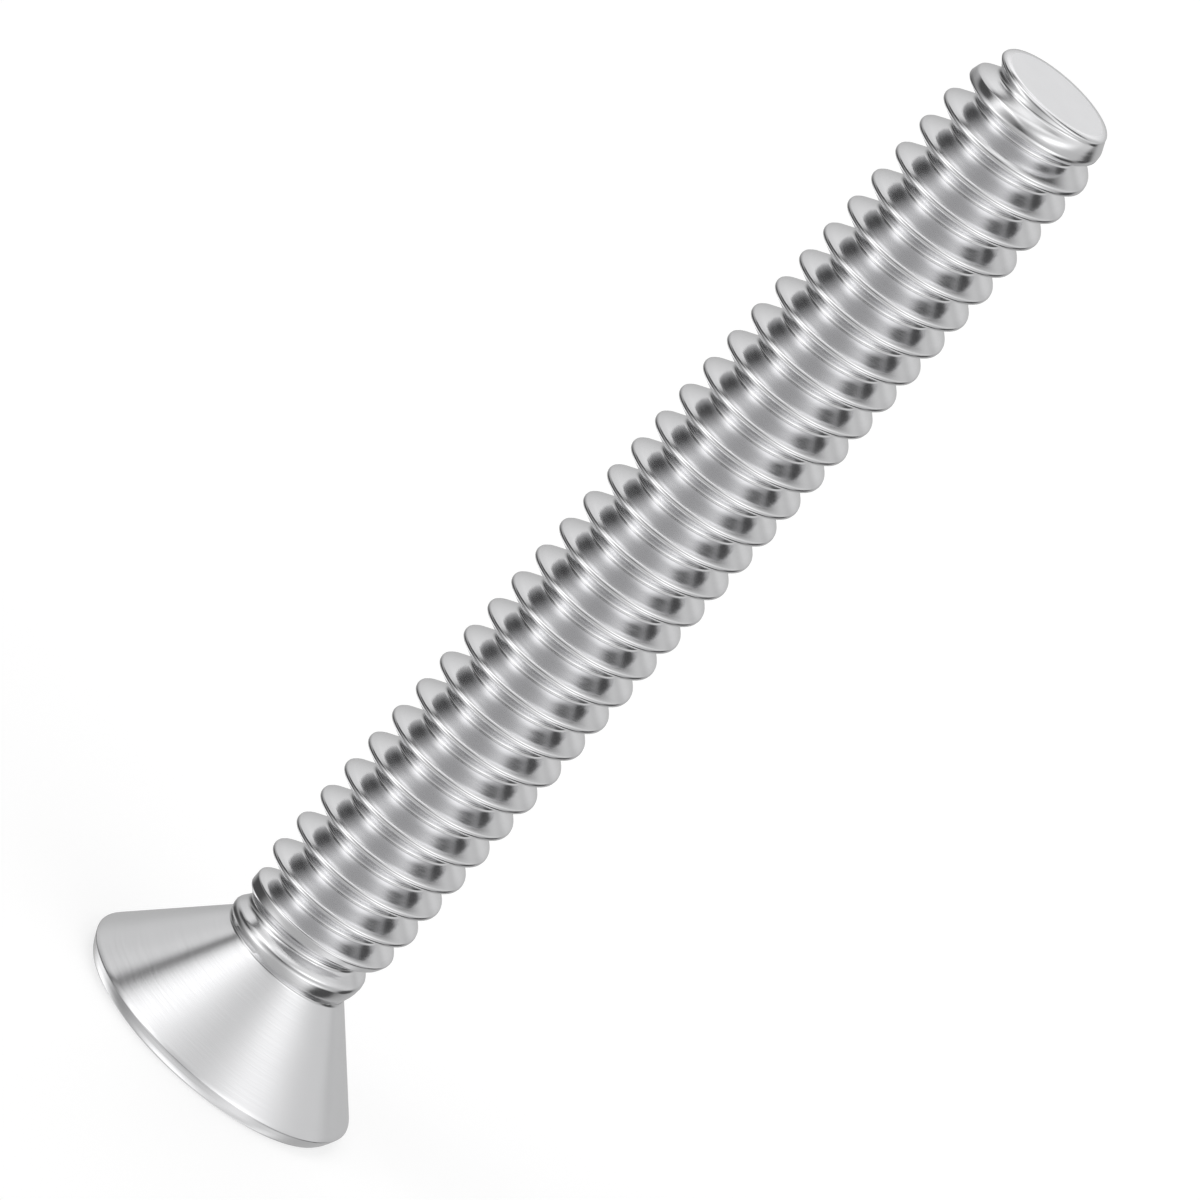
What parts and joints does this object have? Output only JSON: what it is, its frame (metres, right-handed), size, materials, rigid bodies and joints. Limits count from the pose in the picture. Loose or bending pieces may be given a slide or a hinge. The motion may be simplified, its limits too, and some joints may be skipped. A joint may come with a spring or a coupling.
{
  "type": "countersunk socket screw",
  "caption": "Fully threaded machine screw with a flat conical head and a hexagon socket, for a countersunk hole.",
  "frame": {"origin": "centre of the head's flat face, on which the screw stands", "axes": "+Z along the screw from the head to the tip; the socket opens towards -Z, with a corner of its hexagon on +Y"},
  "size_m": [0.009, 0.009, 0.0373],
  "materials": {
    "steel": "bright satin stainless steel, with fine turning marks on the head"
  },
  "bodies": {
    "root": {"screw": "steel"}
  },
  "joints": []
}
